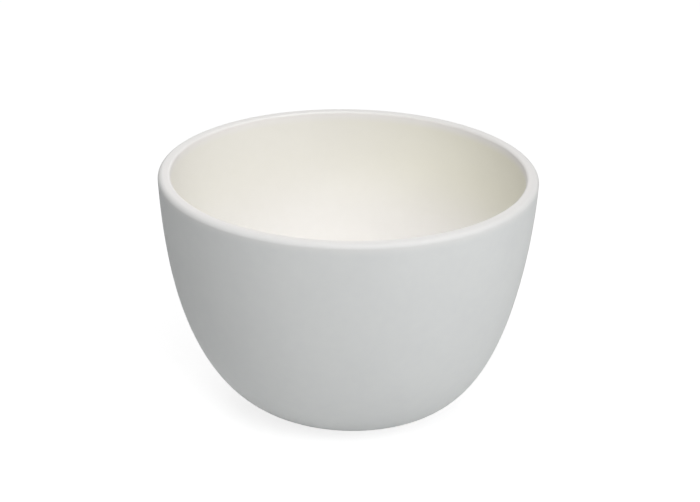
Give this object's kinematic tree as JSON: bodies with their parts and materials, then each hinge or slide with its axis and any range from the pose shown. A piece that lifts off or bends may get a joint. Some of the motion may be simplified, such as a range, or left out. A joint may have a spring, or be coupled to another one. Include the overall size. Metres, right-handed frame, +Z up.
{
  "type": "deep bowl",
  "caption": "Round deep stoneware bowl with a full belly, a thick flat lip and a recessed foot ring, satin white outside and cream inside, for serving or holding food.",
  "frame": {"origin": "on the table, straight below the middle of the rim", "axes": "+Z up out of the bowl's mouth; -Y towards the viewer of the picture, +X to the viewer's right, the side to which the foot is shifted"},
  "size_m": [0.15, 0.15, 0.097],
  "materials": {
    "stoneware": "matte",
    "white_glaze": "satin",
    "cream_glaze": "satin"
  },
  "bodies": {
    "root": {"clay_body": "stoneware", "foot_ring": "stoneware", "outer_glaze": "white_glaze", "liner_glaze": "cream_glaze", "base_glaze": "white_glaze"}
  },
  "joints": []
}
